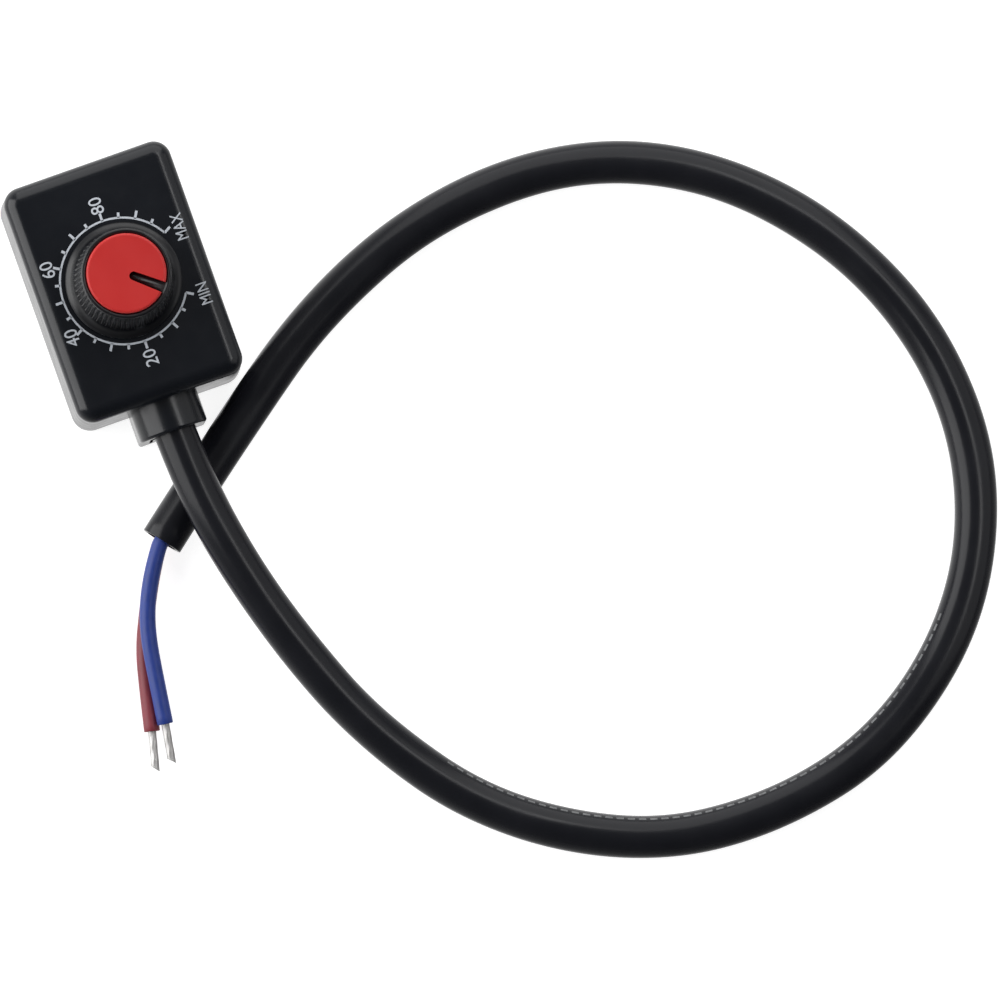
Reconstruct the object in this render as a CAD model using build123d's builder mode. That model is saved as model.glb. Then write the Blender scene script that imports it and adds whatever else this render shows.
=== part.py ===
"""Rotary LED dimmer: a potentiometer in a small moulded box, with a two-core cord.

Millimetres, +Z out of the dial face, +Y away from the cord. The origin is the middle of the base.
"""
import os
from math import cos, pi, radians, tan

from build123d import *

# Housing
case_width = 23.2
case_length = 32.6
case_height = 17.0
case_wall = 1.8
face_thickness = 2.0
corner_radius = 2.5
face_edge_radius = 2.0
wall_draft = 0.75

# Base cover, its lip and its screws
cover_thickness = 2.0
lip_width = 1.2
lip_height = 2.0
lip_clearance = 0.15
screw_inset = 3.5
boss_diameter = 3.7
screw_diameter = 1.9
screw_length = 8.0
screw_head_diameter = 3.6
screw_head_recess = 0.1
screw_clearance = 0.05
pilot_tip_gap = 0.6
driver_slot_width = 0.6
driver_slot_depth = 0.5

# Cord and the collar that it leaves by
cord_diameter = 5.6
cord_clearance = 0.2
cord_axis_height = 8.9
cord_inner_end = 13.0
collar_width = 9.2
collar_length = 4.1
collar_edge_radius = 0.4
mouth_chamfer = 0.3
saddle_drop = 1.6

# Cores and conductors
core_diameter = 2.1
core_spacing = 2.5
conductor_diameter = 1.1
tinned_length = 5.4
tinned_edge_radius = 0.2

# Bush, washer and nut of the potentiometer
bushing_diameter = 7.0
bushing_length = 6.5
bushing_flange_diameter = 10.0
bushing_flange_thickness = 1.0
bushing_chamfer = 0.3
spigot_diameter = 8.0
spigot_stake = 0.6
panel_clearance = 0.1
thread_clearance = 0.02
washer_diameter = 11.4
washer_thickness = 0.4
nut_across_flats = 10.0
nut_thickness = 2.0

# Shaft and its clip
shaft_diameter = 6.0
shaft_clearance = 0.06
shaft_above_face = 11.8
shaft_tail_diameter = 4.6
shaft_collar_diameter = 7.4
shaft_collar_thickness = 0.4
axial_play = 0.1
clip_diameter = 8.0
clip_thickness = 0.5
clip_groove_depth = 0.5
clip_opening = 3.2
clip_clearance = 0.02
knurl_count = 18
knurl_radius = 0.3
knurl_length = 6.0
shaft_split_width = 1.0

# Wafer and lugs
wafer_diameter = 16.0
wafer_thickness = 1.4
wafer_clearance = 0.05
tongue_margin = 0.5
tongue_reach = 9.8
tongue_root = 4.9
lug_count = 3
lug_boss_clearance = 0.1
lug_width = 2.0
lug_thickness = 0.5
lug_reach = 12.1
lug_inner_end = 7.7
lug_eye_diameter = 1.3
lug_eye_reach = 11.0
rivet_reach = 8.7
rivet_diameter = 1.4
rivet_head_diameter = 2.2
rivet_head_height = 0.3

# Case, rotor and wiper
can_wall = 0.35
can_depth = 5.8
can_step_width = 0.65
can_window_clearance = 0.3
tab_count = 4
tab_width = 2.5
tab_reach = 1.2
rotor_diameter = 13.0
rotor_thickness = 2.0
rotor_tail_gap = 0.3
rotor_stop_width = 2.6
can_stop_width = 4.0
stop_clearance = 0.25
wiper_thickness = 0.25
wiper_inner_diameter = 8.4
wiper_outer_diameter = 12.4
wiper_finger_width = 1.0
wiper_finger_length = 3.0
contact_gap = 0.1

# Solder joints
solder_overhang = 0.75
solder_dome = 0.4
solder_collar = 0.2
lead_stand_off = 0.9
lead_sideways = 0.4
lead_setback = 0.9
lead_bend_radius = 1.2
lead_knee_high = 0.43
lead_knee_low = 0.2

# Knob and cap
knob_gap = 0.6
knob_height = 14.3
knob_skirt_diameter = 15.2
knob_skirt_edge = 0.7
knob_flare_height = 2.4
knob_flare_radius = 2.6
knob_foot_diameter = 13.8
knob_rim_diameter = 11.7
knob_rim_edge_radius = 0.25
knob_nut_clearance = 0.4
knob_bush_clearance = 0.6
knob_bore_clearance = 0.02
knob_bore_end_gap = 0.2
flute_count = 60
flute_radius = 0.3
flute_depth = 0.22
flute_rim_band = 0.9
flute_foot_depth = 0.05
cap_diameter = 10.4
cap_thickness = 1.6
cap_proud = 0.5
cap_edge_radius = 0.35
cap_clearance = 0.05
pointer_angle = -40.0
pointer_inner_radius = 1.0
pointer_inner_width = 1.05
pointer_outer_width = 1.35

# Route of the cord: from inside the box out of the collar, over its own tail and round to the cut end
cord_points = [
    (0.0, -cord_inner_end, cord_axis_height),
    (0.0, -23.0, cord_axis_height),
    (1.2, -35.5, 9.0),
    (5.0, -50.0, 7.0),
    (11.2, -65.5, 4.4),
    (22.5, -81.0, 2.9),
    (40.0, -91.5, 2.8),
    (57.5, -93.5, 2.8),
    (75.0, -89.5, 2.8),
    (90.5, -77.0, 2.8),
    (98.5, -59.5, 2.8),
    (98.0, -41.0, 2.8),
    (90.5, -24.0, 2.8),
    (77.5, -10.5, 2.8),
    (61.0, -3.5, 2.8),
    (41.5, -4.0, 2.8),
    (23.5, -11.0, 2.8),
    (8.0, -22.0, 2.8),
    (-6.0, -33.0, 2.8),
]
core_blue_points = [
    (-6.0, -33.0, 3.9),
    (-6.63, -33.49, 3.9),
    (-8.97, -37.2, 3.75),
    (-10.85, -40.75, 3.4),
    (-11.95, -44.4, 3.2),
    (-12.7, -49.2, 2.85),
    (-13.6, -55.65, 2.45),
]
core_red_points = [
    (-6.0, -33.0, 1.7),
    (-6.63, -33.49, 1.7),
    (-9.0, -37.0, 1.4),
    (-11.05, -40.9, 1.1),
    (-12.95, -45.4, 1.05),
    (-14.2, -50.2, 1.05),
    (-15.5, -55.95, 1.05),
]
bend_share = 0.45

# Levels, from the dial face down through the potentiometer
ceiling = case_height - face_thickness
flange_bottom = ceiling - bushing_flange_thickness
wafer_bottom = flange_bottom - wafer_thickness
spigot_bottom = wafer_bottom - spigot_stake
shaft_collar_top = spigot_bottom - axial_play
rotor_top = shaft_collar_top - shaft_collar_thickness
rotor_bottom = rotor_top - rotor_thickness
shaft_tail_end = rotor_bottom - rotor_tail_gap
can_bottom = flange_bottom - can_depth
lug_bottom = wafer_bottom - lug_thickness
lead_end = lug_bottom - lead_stand_off

# Levels, from the dial face up through the knob
washer_top = case_height + washer_thickness
nut_top = washer_top + nut_thickness
bushing_top = ceiling + bushing_length
clip_bottom = bushing_top + axial_play
clip_top = clip_bottom + clip_thickness
shaft_top = case_height + shaft_above_face
knob_bottom = case_height + knob_gap
knob_flare_top = knob_bottom + knob_flare_height
knob_top = knob_bottom + knob_height
cap_top = knob_top + cap_proud
cap_floor = cap_top - cap_thickness

# Widths that follow from the sizes above
inner_width = case_width - 2 * case_wall
inner_length = case_length - 2 * case_wall
inner_corner = max(corner_radius - case_wall, 0.3)
collar_end = case_length / 2 + collar_length
cord_bore = cord_diameter + 2 * cord_clearance
screw_x = case_width / 2 - screw_inset
screw_y = case_length / 2 - screw_inset
screw_places = [(screw_x, screw_y), (-screw_x, -screw_y)]
lug_pitch = screw_x - boss_diameter / 2 - core_diameter / 2 - lug_boss_clearance
tongue_width = (lug_count - 1) * lug_pitch + lug_width + 2 * tongue_margin
lug_places = [(index - (lug_count - 1) / 2) * lug_pitch for index in range(lug_count)]
used_lugs = lug_places[:2]
shaft_bore = shaft_diameter + 2 * shaft_clearance
can_radius = wafer_diameter / 2 + wafer_clearance
can_inner_radius = can_radius - can_step_width
stop_reach = can_inner_radius - rotor_diameter / 2 - stop_clearance
cap_recess = cap_diameter + 2 * cap_clearance


def bend_radii(points):
    """Largest tangent arc at each inner point that leaves both its runs a short straight."""
    places = [Vector(*point) for point in points]
    runs = [after - before for before, after in zip(places, places[1:])]
    return [
        bend_share * min(before.length, after.length) / tan(radians(before.get_angle(after) / 2))
        for before, after in zip(runs, runs[1:])
    ]


def tube(points, diameter, radii):
    """Round tube along straight runs joined by tangent arcs."""
    with BuildPart() as piece:
        with BuildLine() as route:
            FilletPolyline(*points, radius=radii)
        with BuildSketch(Plane(origin=route.line @ 0, z_dir=route.line % 0)):
            Circle(diameter / 2)
        sweep()
    length = route.wire().length
    share = piece.part.volume / (pi * diameter**2 / 4 * length)
    print("radii", [round(radius, 1) for radius in radii])
    print("length", round(length, 1), "volume share", round(share, 4))
    return piece


def straight_end(points, length, diameter):
    """Straight rod that carries on from the last run of a route."""
    start = Vector(*points[-1])
    heading = (start - Vector(*points[-2])).normalized()
    with BuildPart() as piece:
        with BuildSketch(Plane(origin=start, z_dir=heading)):
            Circle(diameter / 2)
        extrude(amount=length)
        fillet(piece.faces().sort_by(Axis.Y)[0].edges(), tinned_edge_radius)
    return piece


def pointer_outline(level, allowance):
    """Outline of the pointer on the knob, round at its inner end and wider at the rim."""
    inner = pointer_inner_width / 2
    outer = pointer_outer_width / 2
    reach = (cap_recess + knob_rim_diameter) / 4
    with BuildSketch(Plane.XY.offset(level).rotated((0, 0, pointer_angle))) as outline:
        with BuildLine():
            Line((pointer_inner_radius, -inner), (reach, -outer))
            Line((reach, -outer), (reach, outer))
            Line((reach, outer), (pointer_inner_radius, inner))
            ThreePointArc(
                (pointer_inner_radius, inner),
                (pointer_inner_radius - inner, 0),
                (pointer_inner_radius, -inner),
            )
        make_face()
        offset(amount=allowance)
    return outline.sketch


# Upper shell: box, collar with its cord slot, screw bosses and the hole for the bush
with BuildPart() as upper_shell:
    with BuildSketch(Plane.XY.offset(cover_thickness)):
        RectangleRounded(case_width, case_length, corner_radius)
    extrude(amount=case_height - cover_thickness, taper=wall_draft)
    fillet(upper_shell.faces().sort_by(Axis.Z)[-1].edges(), face_edge_radius)
    with BuildSketch(Plane.XZ.offset(case_length / 2 - case_wall / 2)):
        with Locations((0, cord_axis_height)):
            Circle(collar_width / 2)
        with Locations((0, cover_thickness)):
            Rectangle(collar_width, cord_axis_height - cover_thickness, align=(Align.CENTER, Align.MIN))
    extrude(amount=collar_length + case_wall / 2)
    mouth_edges = upper_shell.faces().sort_by(Axis.Y)[0].edges()
    upper_edges = mouth_edges.filter_by_position(Axis.Z, cover_thickness + lip_height, case_height)
    fillet(upper_edges, collar_edge_radius)
    with BuildSketch(Plane.XY.offset(cover_thickness)):
        RectangleRounded(inner_width, inner_length, inner_corner)
    extrude(amount=ceiling - cover_thickness, mode=Mode.SUBTRACT)
    with BuildSketch(Plane.XY.offset(cover_thickness)):
        with Locations(*screw_places):
            Circle(boss_diameter / 2)
    extrude(amount=ceiling - cover_thickness)
    with BuildSketch(Plane.XY.offset(cover_thickness)):
        with Locations(*screw_places):
            Circle(screw_diameter / 2 + screw_clearance)
    extrude(amount=screw_length - cover_thickness + pilot_tip_gap, mode=Mode.SUBTRACT)
    with BuildSketch(Plane.XZ.offset(inner_length / 2 - case_wall / 2)):
        with Locations((0, cord_axis_height)):
            Circle(cord_bore / 2)
        with Locations((0, cover_thickness)):
            Rectangle(cord_bore, cord_axis_height - cover_thickness, align=(Align.CENTER, Align.MIN))
    extrude(amount=case_wall * 2 + collar_length, mode=Mode.SUBTRACT)
    bore_edges = upper_shell.faces().sort_by(Axis.Y)[0].edges().filter_by(GeomType.CIRCLE)
    chamfer(bore_edges.sort_by(SortBy.RADIUS)[0], mouth_chamfer)
    with BuildSketch(Plane.XY.offset(ceiling)):
        Circle(bushing_diameter / 2 + panel_clearance)
    extrude(amount=face_thickness, mode=Mode.SUBTRACT)

# Base cover: plate with a tongue under the collar, a lip inside the walls and a saddle in the cord slot
with BuildPart() as base_cover:
    with BuildSketch():
        RectangleRounded(case_width, case_length, corner_radius)
        with Locations((0, -collar_end)):
            Rectangle(collar_width, collar_length + case_wall, align=(Align.CENTER, Align.MIN))
    extrude(amount=cover_thickness)
    tongue_edges = base_cover.edges().filter_by(Axis.Z).group_by(Axis.Y)[0]
    fillet(tongue_edges, collar_edge_radius)
    with BuildSketch(Plane.XY.offset(cover_thickness)):
        RectangleRounded(inner_width - 2 * lip_clearance, inner_length - 2 * lip_clearance, inner_corner)
        offset(amount=-lip_width, kind=Kind.INTERSECTION, mode=Mode.SUBTRACT)
        with Locations(*screw_places):
            Circle(boss_diameter / 2 + lip_clearance, mode=Mode.SUBTRACT)
    extrude(amount=lip_height)
    with BuildSketch(Plane.XY.offset(cover_thickness)):
        with Locations((0, -collar_end)):
            Rectangle(cord_bore - 2 * lip_clearance, collar_length + case_wall + lip_clearance + lip_width,
                      align=(Align.CENTER, Align.MIN))
    extrude(amount=cord_axis_height - saddle_drop - cover_thickness)
    with BuildSketch(Plane.XZ.offset(inner_length / 2 - 2 * lip_width)):
        with Locations((0, cord_axis_height)):
            Circle(cord_bore / 2)
    extrude(amount=case_wall * 2 + collar_length + lip_width, mode=Mode.SUBTRACT)
    for screw_place in screw_places:
        with Locations(Plane(origin=(*screw_place, 0), z_dir=(0, 0, -1))):
            CounterSinkHole(
                radius=screw_diameter / 2 + 2 * screw_clearance,
                counter_sink_radius=screw_head_diameter / 2 + screw_head_recess + screw_clearance,
                depth=cover_thickness + lip_height,
                counter_sink_angle=90,
            )

# Cover screws: countersunk heads with a driver slot and pointed shanks
with BuildPart() as one_screw:
    head_radius = screw_head_diameter / 2
    shank_radius = screw_diameter / 2
    head_height = head_radius - shank_radius
    with BuildSketch(Plane.XZ):
        Polygon(
            (0, screw_head_recess),
            (head_radius, screw_head_recess),
            (shank_radius, screw_head_recess + head_height),
            (shank_radius, screw_length - screw_diameter),
            (0, screw_length),
            align=None,
        )
    revolve(axis=Axis.Z)
    with BuildSketch(Plane.XY.offset(screw_head_recess)):
        Rectangle(screw_head_diameter, driver_slot_width)
    extrude(amount=driver_slot_depth, mode=Mode.SUBTRACT)
with BuildPart() as cover_screws:
    with Locations(*[(*screw_place, 0) for screw_place in screw_places]):
        add(one_screw.part)

# Bush: threaded neck, flange under the dial face and a spigot staked through the wafer
with BuildPart() as pot_bushing:
    with BuildSketch(Plane.XY.offset(spigot_bottom)):
        Circle(spigot_diameter / 2)
    extrude(amount=flange_bottom - spigot_bottom)
    with BuildSketch(Plane.XY.offset(flange_bottom)):
        Circle(bushing_flange_diameter / 2)
    extrude(amount=bushing_flange_thickness)
    with BuildSketch(Plane.XY.offset(ceiling)):
        Circle(bushing_diameter / 2)
    extrude(amount=bushing_length)
    chamfer(pot_bushing.faces().sort_by(Axis.Z)[-1].edges(), bushing_chamfer)
    with BuildSketch(Plane.XY.offset(spigot_bottom)):
        Circle(shaft_bore / 2)
    extrude(amount=bushing_top - spigot_bottom, mode=Mode.SUBTRACT)

# Washer and nut on the dial face
with BuildPart() as pot_washer:
    with BuildSketch(Plane.XY.offset(case_height)):
        Circle(washer_diameter / 2)
        Circle(bushing_diameter / 2 + panel_clearance, mode=Mode.SUBTRACT)
    extrude(amount=washer_thickness)
with BuildPart() as pot_nut:
    with BuildSketch(Plane.XY.offset(washer_top)):
        RegularPolygon(nut_across_flats / 2, 6, major_radius=False)
        Circle(bushing_diameter / 2 + thread_clearance, mode=Mode.SUBTRACT)
    extrude(amount=nut_thickness)

# Shaft: plain bearing length, clip groove, split knurled end, thrust collar and the tail that takes the rotor
with BuildPart() as pot_shaft:
    with BuildSketch(Plane.XY.offset(shaft_collar_top)):
        Circle(shaft_diameter / 2)
    extrude(amount=shaft_top - shaft_collar_top)
    chamfer(pot_shaft.faces().sort_by(Axis.Z)[-1].edges(), knurl_radius)
    with BuildSketch(Plane.XY.offset(rotor_top)):
        Circle(shaft_collar_diameter / 2)
    extrude(amount=shaft_collar_thickness)
    with BuildSketch(Plane.XY.offset(shaft_tail_end)):
        Circle(shaft_tail_diameter / 2)
    extrude(amount=rotor_top - shaft_tail_end)
    with BuildSketch(Plane.XY.offset(clip_bottom - clip_clearance)):
        Circle(shaft_diameter / 2)
        Circle(shaft_diameter / 2 - clip_groove_depth, mode=Mode.SUBTRACT)
    extrude(amount=clip_thickness + 2 * clip_clearance, mode=Mode.SUBTRACT)
    with BuildSketch(Plane.XY.offset(shaft_top)):
        with PolarLocations(shaft_diameter / 2, knurl_count):
            Circle(knurl_radius)
        Rectangle(shaft_diameter, shaft_split_width)
    extrude(amount=-knurl_length, mode=Mode.SUBTRACT)

# Clip: C-ring in the shaft groove, above the bush
with BuildPart() as shaft_clip:
    with BuildSketch(Plane.XY.offset(clip_bottom)):
        Circle(clip_diameter / 2)
        Circle(shaft_diameter / 2 - clip_groove_depth + clip_clearance, mode=Mode.SUBTRACT)
        with Locations((clip_diameter / 2, 0)):
            Rectangle(clip_diameter, clip_opening, mode=Mode.SUBTRACT)
    extrude(amount=clip_thickness)

# Wafer: round board with a tongue towards the cord, drilled for the spigot and the lug rivets
with BuildPart() as pot_wafer:
    with BuildSketch(Plane.XY.offset(wafer_bottom)):
        Circle(wafer_diameter / 2)
        with Locations((0, -tongue_reach)):
            Rectangle(tongue_width, tongue_reach - tongue_root, align=(Align.CENTER, Align.MIN))
        Circle(spigot_diameter / 2 + wafer_clearance, mode=Mode.SUBTRACT)
        with Locations(*[(lug_x, -rivet_reach) for lug_x in lug_places]):
            Circle(rivet_diameter / 2 + wafer_clearance, mode=Mode.SUBTRACT)
    extrude(amount=wafer_thickness)

# Lugs: round-ended strips with an eye, riveted under the tongue
with BuildPart() as pot_lugs:
    with BuildSketch(Plane.XY.offset(lug_bottom)):
        with Locations(*[(lug_x, -(lug_reach + lug_inner_end) / 2) for lug_x in lug_places]):
            SlotOverall(lug_reach - lug_inner_end, lug_width, rotation=90)
        with Locations(*[(lug_x, -lug_eye_reach) for lug_x in lug_places]):
            Circle(lug_eye_diameter / 2, mode=Mode.SUBTRACT)
    extrude(amount=lug_thickness)
    with BuildSketch(Plane.XY.offset(wafer_bottom)):
        with Locations(*[(lug_x, -rivet_reach) for lug_x in lug_places]):
            Circle(rivet_diameter / 2)
    extrude(amount=wafer_thickness)
    with BuildSketch(Plane.XY.offset(flange_bottom)):
        with Locations(*[(lug_x, -rivet_reach) for lug_x in lug_places]):
            Circle(rivet_head_diameter / 2)
    extrude(amount=rivet_head_height)

# Case: stepped pressed can under the wafer, with a window for the tongue, a pressed stop and four folded tabs
with BuildPart() as pot_case:
    with BuildSketch(Plane.XZ):
        Polygon(
            (0, can_bottom),
            (can_inner_radius + can_wall, can_bottom),
            (can_inner_radius + can_wall, wafer_bottom - can_wall),
            (can_radius + can_wall, wafer_bottom - can_wall),
            (can_radius + can_wall, flange_bottom),
            (can_radius, flange_bottom),
            (can_radius, wafer_bottom),
            (can_inner_radius, wafer_bottom),
            (can_inner_radius, can_bottom + can_wall),
            (0, can_bottom + can_wall),
            align=None,
        )
    revolve(axis=Axis.Z)
    with BuildSketch(Plane.XY.offset(rotor_bottom)):
        with Locations((0, -can_inner_radius - can_wall)):
            Rectangle(can_stop_width, can_wall + stop_reach, align=(Align.CENTER, Align.MIN))
    extrude(amount=rotor_thickness)
    with BuildSketch(Plane.XY.offset(flange_bottom)):
        with PolarLocations(can_radius + can_wall, tab_count, angular_range=180, endpoint=True):
            Rectangle(tab_reach, tab_width, align=(Align.MAX, Align.CENTER))
        Circle(can_radius + can_wall, mode=Mode.INTERSECT)
    extrude(amount=can_wall)
    with BuildSketch(Plane.XY.offset(lug_bottom - can_window_clearance)):
        with Locations((0, -can_radius - 2 * can_wall)):
            Rectangle(
                tongue_width + 2 * wafer_clearance,
                can_radius + 2 * can_wall + wafer_clearance - tongue_root,
                align=(Align.CENTER, Align.MIN),
            )
    extrude(amount=flange_bottom - lug_bottom + can_window_clearance, mode=Mode.SUBTRACT)

# Rotor: moulded disc on the shaft tail, with a stop nib that turns up to the pressed stop of the case
with BuildPart() as pot_rotor:
    with BuildSketch(Plane.XY.offset(rotor_bottom)):
        Circle(rotor_diameter / 2)
        Circle(shaft_tail_diameter / 2 + clip_clearance, mode=Mode.SUBTRACT)
    extrude(amount=rotor_thickness)
    with BuildSketch(Plane.XY.offset(rotor_bottom).rotated((0, 0, pointer_angle - 90))):
        with Locations((rotor_diameter / 4, 0)):
            Rectangle(rotor_diameter / 4 + stop_reach, rotor_stop_width, align=(Align.MIN, Align.CENTER))
    extrude(amount=rotor_thickness)

# Wiper: spring ring on the rotor with two raised fingers, one to each track of the wafer
with BuildPart() as pot_wiper:
    with BuildSketch(Plane.XY.offset(rotor_top)):
        Circle(wiper_outer_diameter / 2)
        Circle(wiper_inner_diameter / 2, mode=Mode.SUBTRACT)
    extrude(amount=wiper_thickness)
    with BuildSketch(Plane.XZ.offset(-wiper_outer_diameter / 2 + wiper_finger_width / 2)):
        Polygon(
            (0, rotor_top),
            (wiper_finger_length, wafer_bottom - contact_gap - wiper_thickness),
            (wiper_finger_length, wafer_bottom - contact_gap),
            (0, rotor_top + wiper_thickness),
            align=None,
        )
    extrude(amount=wiper_finger_width)
    mirror(about=Plane.XZ)

# Leads inside the box, their stripped ends and the solder on the two lugs in use
lead_rise = lead_end - cord_axis_height
lead_red = tube(
    [
        (core_spacing / 2, -cord_inner_end, cord_axis_height),
        (core_spacing / 2, -lug_eye_reach - lead_sideways, cord_axis_height),
        (used_lugs[1], -lug_eye_reach, cord_axis_height + lead_knee_high * lead_rise),
        (used_lugs[1], -lug_eye_reach, lead_end),
    ],
    core_diameter,
    [lead_bend_radius] * 2,
)
lead_blue = tube(
    [
        (-core_spacing / 2, -cord_inner_end, cord_axis_height),
        (-core_spacing / 2, -lug_eye_reach - lead_setback, cord_axis_height),
        (used_lugs[0], -lug_eye_reach, cord_axis_height + lead_knee_low * lead_rise),
        (used_lugs[0], -lug_eye_reach, lead_end),
    ],
    core_diameter,
    [lead_bend_radius] * 2,
)

cord_jacket = tube(cord_points, cord_diameter, bend_radii(cord_points))
core_blue = tube(core_blue_points, core_diameter, bend_radii(core_blue_points))
core_red = tube(core_red_points, core_diameter, bend_radii(core_red_points))
tinned_end_blue = straight_end(core_blue_points, tinned_length, conductor_diameter)
tinned_end_red = straight_end(core_red_points, tinned_length, conductor_diameter)

# Knob: flared skirt, fluted cone, cap recess with the pointer rib, cavity over nut and bush, shaft bore
with BuildPart() as knob_body:
    skirt_corner = (knob_skirt_diameter / 2, knob_bottom + knob_skirt_edge)
    foot_corner = (knob_foot_diameter / 2, knob_flare_top)
    rim_corner = (knob_rim_diameter / 2, knob_top)
    with BuildSketch(Plane.XZ):
        with BuildLine():
            Polyline((0, knob_bottom), (knob_skirt_diameter / 2, knob_bottom), skirt_corner)
            RadiusArc(skirt_corner, foot_corner, knob_flare_radius)
            Polyline(foot_corner, rim_corner, (0, knob_top), (0, knob_bottom))
        make_face()
    revolve(axis=Axis.Z)
    fillet(knob_body.faces().sort_by(Axis.Z)[-1].edges(), knob_rim_edge_radius)
    slope = Vector(rim_corner[0] - foot_corner[0], 0, rim_corner[1] - foot_corner[1]).normalized()
    outward = Vector(slope.Z, 0, -slope.X)
    foot = Vector(foot_corner[0], 0, foot_corner[1])
    head = foot + slope * ((knob_top - flute_rim_band - foot.Z) / slope.Z)
    flute_start = foot + outward * (flute_radius - flute_foot_depth)
    flute_run = head + outward * (flute_radius - flute_depth) - flute_start
    with BuildSketch(Plane(origin=flute_start, z_dir=flute_run)):
        Circle(flute_radius)
    flute = extrude(amount=flute_run.length, mode=Mode.PRIVATE)
    with PolarLocations(0, flute_count):
        add(flute, mode=Mode.SUBTRACT)
    with BuildSketch(Plane.XY.offset(cap_floor)):
        Circle(cap_recess / 2)
    extrude(amount=knob_top - cap_floor, mode=Mode.SUBTRACT)
    extrude(pointer_outline(cap_floor, 0), amount=knob_top - cap_floor - knob_rim_edge_radius)
    with BuildSketch(Plane.XY.offset(knob_bottom)):
        Circle(nut_across_flats / 2 / cos(radians(30)) + knob_nut_clearance)
    extrude(amount=nut_top + knob_nut_clearance - knob_bottom, mode=Mode.SUBTRACT)
    with BuildSketch(Plane.XY.offset(knob_bottom)):
        Circle(bushing_diameter / 2 + knob_bush_clearance)
    extrude(amount=clip_top + knob_nut_clearance - knob_bottom, mode=Mode.SUBTRACT)
    with BuildSketch(Plane.XY.offset(knob_bottom)):
        Circle(shaft_diameter / 2 + knob_bore_clearance)
    extrude(amount=shaft_top + knob_bore_end_gap - knob_bottom, mode=Mode.SUBTRACT)

# Cap: coloured disc with rounded edge, slotted for the pointer
with BuildPart() as knob_cap:
    with BuildSketch(Plane.XY.offset(cap_floor)):
        Circle(cap_diameter / 2)
    extrude(amount=cap_thickness)
    fillet(knob_cap.faces().sort_by(Axis.Z)[-1].edges(), cap_edge_radius)
    extrude(pointer_outline(cap_floor, cap_clearance), amount=cap_thickness, mode=Mode.SUBTRACT)

# Stripped ends of the leads, up through the lug eyes, with a collar of solder above and below each lug
lug_top = wafer_bottom
solder_top = lug_top + solder_dome
eye_places = [(lug_x, -lug_eye_reach) for lug_x in used_lugs]
with BuildPart() as lead_conductors:
    with BuildSketch(Plane.XY.offset(lead_end)):
        with Locations(*eye_places):
            Circle(conductor_diameter / 2)
    extrude(amount=solder_top - lead_end)
with BuildPart() as one_joint:
    wire_radius = conductor_diameter / 2
    pad_radius = lug_eye_diameter / 2 + solder_collar
    with BuildSketch(Plane.XZ):
        Polygon(
            (wire_radius, lug_bottom - solder_overhang),
            (wire_radius + solder_collar, lug_bottom - solder_overhang),
            (pad_radius, lug_bottom),
            (lug_eye_diameter / 2, lug_bottom),
            (lug_eye_diameter / 2, lug_top),
            (pad_radius, lug_top),
            (wire_radius, solder_top),
            align=None,
        )
    revolve(axis=Axis.Z)
with BuildPart() as solder_joints:
    with Locations(*[(*eye_place, 0) for eye_place in eye_places]):
        add(one_joint.part)

pieces = {
    "upper_shell": upper_shell,
    "base_cover": base_cover,
    "cover_screws": cover_screws,
    "knob_body": knob_body,
    "knob_cap": knob_cap,
    "pot_shaft": pot_shaft,
    "shaft_clip": shaft_clip,
    "pot_nut": pot_nut,
    "pot_washer": pot_washer,
    "pot_bushing": pot_bushing,
    "pot_case": pot_case,
    "pot_wafer": pot_wafer,
    "pot_lugs": pot_lugs,
    "pot_rotor": pot_rotor,
    "pot_wiper": pot_wiper,
    "cord_jacket": cord_jacket,
    "core_blue": core_blue,
    "core_red": core_red,
    "tinned_end_blue": tinned_end_blue,
    "tinned_end_red": tinned_end_red,
    "lead_blue": lead_blue,
    "lead_red": lead_red,
    "lead_conductors": lead_conductors,
    "solder_joints": solder_joints,
}
os.makedirs("parts", exist_ok=True)
for name, piece in pieces.items():
    piece.part.label = name
    export_step(piece.part, f"parts/{name}.step")
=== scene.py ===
"""Looks of a rotary dimmer: box with a printed dial, fluted knob, cord and two stripped cores."""

import logging
import math
from dataclasses import dataclass, field
from enum import Enum

import bmesh
import bpy
from mathutils import Matrix, Vector


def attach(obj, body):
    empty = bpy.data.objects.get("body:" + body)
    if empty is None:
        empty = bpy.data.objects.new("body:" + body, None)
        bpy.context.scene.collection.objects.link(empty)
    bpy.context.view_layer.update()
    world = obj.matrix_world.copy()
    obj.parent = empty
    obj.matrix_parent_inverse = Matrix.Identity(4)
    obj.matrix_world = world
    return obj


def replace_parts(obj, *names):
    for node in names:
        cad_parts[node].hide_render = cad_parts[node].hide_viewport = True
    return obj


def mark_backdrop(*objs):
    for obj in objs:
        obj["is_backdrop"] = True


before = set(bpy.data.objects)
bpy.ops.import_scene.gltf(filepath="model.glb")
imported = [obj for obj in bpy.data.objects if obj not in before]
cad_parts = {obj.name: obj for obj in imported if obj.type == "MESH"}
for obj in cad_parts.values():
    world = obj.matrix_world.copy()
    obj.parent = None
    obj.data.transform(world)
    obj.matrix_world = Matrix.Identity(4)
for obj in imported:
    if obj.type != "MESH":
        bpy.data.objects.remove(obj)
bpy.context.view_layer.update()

MM = 0.001
PATTERN_DARK, PATTERN_LIGHT = 0.3, 0.7
SHARP_EDGE = math.radians(40.0)
HALF_TURN = 0.5
HALF_UNIT = 0.5
FLAT_END_SHARE = 0.5
LOWEST = -1.0
EVEN = (1.0, 1.0, 1.0)
WHITE = (1.0, 1.0, 1.0, 1.0)

Point = tuple[float, float, float]
Colour = tuple[float, float, float]
Steps = tuple[tuple[float, float], ...]
Value = bpy.types.NodeSocket | float | tuple[float, ...]
Ring = list[bmesh.types.BMVert]
log = logging.getLogger("dimmer")


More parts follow.
